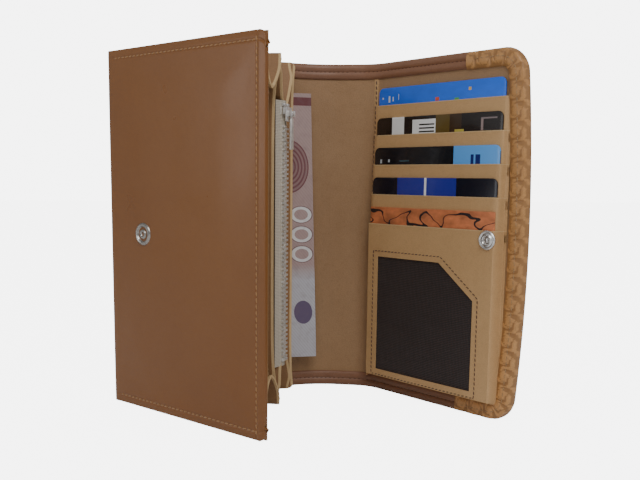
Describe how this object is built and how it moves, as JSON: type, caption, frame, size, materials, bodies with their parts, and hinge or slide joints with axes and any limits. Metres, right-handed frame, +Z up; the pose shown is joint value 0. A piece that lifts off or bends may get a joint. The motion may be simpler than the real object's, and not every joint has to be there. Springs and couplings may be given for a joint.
{
  "type": "long wallet",
  "caption": "Upright long wallet standing open, with a snap flap of stepped card slots, a mesh window, a zipped coin pocket and folded gussets.",
  "frame": {"origin": "centre of the box round the open wallet, on the surface that it stands on", "axes": "+Z up, along the wallet's long side; +X along the back panel from the edge fold to the spine; -Y towards the open side"},
  "size_m": [0.1936, 0.1132, 0.189],
  "materials": {
    "chestnut_leather": "smooth chestnut vegetable-tanned cowhide with a soft gloss",
    "tan_lining": "fine tan lining leather, satin",
    "binding_leather": "turned and stitched edge, satin",
    "pocket_leather": "thin tan pocket leather, satin",
    "tooled_leather": "honey tan leather tooled in scrolls, burnished",
    "gusset_leather": "folded gusset leather",
    "snap_metal": "antique nickel",
    "zip_metal": "bright nickel",
    "zip_tape": "woven zip tape",
    "window_mesh": "fine dark mesh",
    "banknote_paper": "printed cotton paper",
    "card_blue": "printed card",
    "card_black": "printed card",
    "card_graphite": "printed card",
    "card_navy": "printed card",
    "card_orange": "printed paper card"
  },
  "bodies": {
    "back": {"back_leather": "chestnut_leather", "back_lining": "tan_lining", "back_binding_top": "binding_leather", "back_binding_bottom": "binding_leather", "edge_fold_leather": "chestnut_leather", "spine_bend_leather": "chestnut_leather"},
    "front": {"front_leather": "chestnut_leather", "front_lining": "tan_lining", "snap_stud": "snap_metal", "snap_stud_washer": "snap_metal"},
    "coin_front": {"coin_wall_front": "pocket_leather", "front_gusset_top": "gusset_leather", "front_gusset_bottom": "gusset_leather"},
    "coin_rear": {"coin_wall_rear": "pocket_leather", "coin_gusset_top": "gusset_leather", "coin_gusset_bottom": "gusset_leather"},
    "zip": {"zip_chain_front": "zip_metal", "zip_chain_rear": "zip_metal", "zip_tape_front": "zip_tape", "zip_tape_rear": "zip_tape", "zip_bottom_stop": "zip_metal", "zip_top_stops": "zip_metal"},
    "slider": {"zip_slider": "zip_metal"},
    "puller": {"zip_puller": "zip_metal"},
    "spine": {"spine_leather": "chestnut_leather", "spine_lining": "tan_lining", "spine_binding_top": "binding_leather", "spine_binding_bottom": "binding_leather", "flap_bend_leather": "chestnut_leather"},
    "flap": {"flap_leather": "chestnut_leather", "flap_lining": "tan_lining", "flap_binding_top": "binding_leather", "flap_binding_bottom": "binding_leather", "tooled_overlay": "tooled_leather", "tooled_border": "tooled_leather", "card_pocket_1": "pocket_leather", "card_pocket_2": "pocket_leather", "card_pocket_3": "pocket_leather", "card_pocket_4": "pocket_leather", "window_pocket": "pocket_leather", "window_mesh": "window_mesh", "snap_socket": "snap_metal"},
    "card_1": {"card_1": "card_blue"},
    "card_2": {"card_2": "card_black"},
    "card_3": {"card_3": "card_graphite"},
    "card_4": {"card_4": "card_navy"},
    "card_5": {"card_5": "card_orange"},
    "banknote": {"banknote": "banknote_paper"}
  },
  "joints": [
    {"name": "front_fold", "type": "hinge", "parent": "back", "child": "front", "pos_m": [-0.09158, 0.05137, 0], "axis": [0, 0, 1], "range_deg": [0, 51.9], "deforming": ["front_gusset_top", "front_gusset_bottom", "coin_gusset_top", "coin_gusset_bottom", "edge_fold_leather", "zip_tape_front", "zip_tape_rear"]},
    {"name": "coin_front_fold", "type": "hinge", "parent": "back", "child": "coin_front", "pos_m": [-0.09158, 0.05137, 0], "axis": [0, 0, 1], "range_deg": [0, 20.92]},
    {"name": "coin_rear_fold", "type": "hinge", "parent": "back", "child": "coin_rear", "pos_m": [-0.09158, 0.05137, 0], "axis": [0, 0, 1], "range_deg": [0, 4.71]},
    {"name": "zip_fold", "type": "hinge", "parent": "back", "child": "zip", "pos_m": [-0.09158, 0.05137, 0], "axis": [0, 0, 1], "range_deg": [0, 14.46]},
    {"name": "spine_fold", "type": "hinge", "parent": "back", "child": "spine", "pos_m": [0.02242, 0.05337, 0], "axis": [0, 0, 1], "range_deg": [-68.17, 0], "deforming": ["spine_bend_leather"]},
    {"name": "flap_fold", "type": "hinge", "parent": "spine", "child": "flap", "pos_m": [0.05095, 0.0389, 0], "axis": [0, 0, 1], "range_deg": [-52.6, 39.4], "deforming": ["flap_bend_leather"]},
    {"name": "zip_slide", "type": "slide", "parent": "zip", "child": "slider", "axis": [0, 0, 1], "range_m": [-0.1292, 0]},
    {"name": "puller_swing", "type": "hinge", "parent": "slider", "child": "puller", "pos_m": [-0.00446, 0.02075, 0.158], "axis": [-0.6428, -0.766, 0], "range_deg": [0, 170]},
    {"name": "card_1_slide", "type": "slide", "parent": "flap", "child": "card_1", "axis": [0, 0, 1], "range_m": [0, 0.05]},
    {"name": "card_2_slide", "type": "slide", "parent": "flap", "child": "card_2", "axis": [0, 0, 1], "range_m": [0, 0.05]},
    {"name": "card_3_slide", "type": "slide", "parent": "flap", "child": "card_3", "axis": [0, 0, 1], "range_m": [0, 0.05]},
    {"name": "card_4_slide", "type": "slide", "parent": "flap", "child": "card_4", "axis": [0, 0, 1], "range_m": [0, 0.05]},
    {"name": "card_5_slide", "type": "slide", "parent": "flap", "child": "card_5", "axis": [0, 0, 1], "range_m": [0, 0.05]},
    {"name": "banknote_slide", "type": "slide", "parent": "coin_rear", "child": "banknote", "axis": [0, 0, 1], "range_m": [0, 0.06]}
  ],
  "couplings": [
    {"joint": "coin_front_fold", "follows": "front_fold", "ratio": 0.4027},
    {"joint": "coin_rear_fold", "follows": "front_fold", "ratio": 0.090559},
    {"joint": "zip_fold", "follows": "front_fold", "ratio": 0.27842},
    {"joint": "spine_fold", "follows": "front_fold", "ratio": -1.3121}
  ]
}
